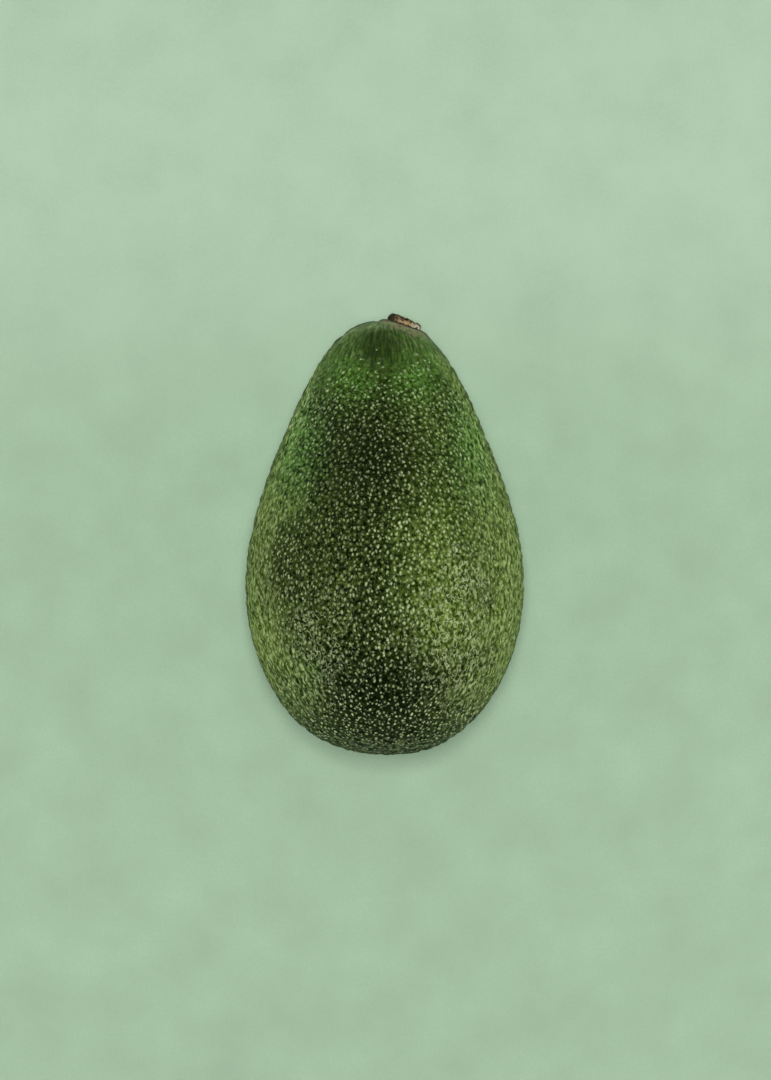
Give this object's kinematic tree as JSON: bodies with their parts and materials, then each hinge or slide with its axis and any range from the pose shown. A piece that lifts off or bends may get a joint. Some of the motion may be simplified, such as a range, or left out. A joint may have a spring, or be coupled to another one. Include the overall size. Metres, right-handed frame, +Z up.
{
  "type": "avocado",
  "caption": "Whole unpeeled avocado, pear-shaped with pebbled green skin and a dry stem button, lying on its side on a small flat spot.",
  "frame": {"origin": "on the surface that the fruit lies on, under the middle of its bounding box", "axes": "+Y along the fruit towards the stem end, +Z up from the surface, +X to the right when the fruit is seen from above with its stem end away from the viewer"},
  "size_m": [0.0704, 0.112, 0.0705],
  "materials": {
    "skin": "satin",
    "dry_stalk": "matte"
  },
  "bodies": {
    "root": {"fruit": "skin", "stem_button": "dry_stalk"}
  },
  "joints": []
}
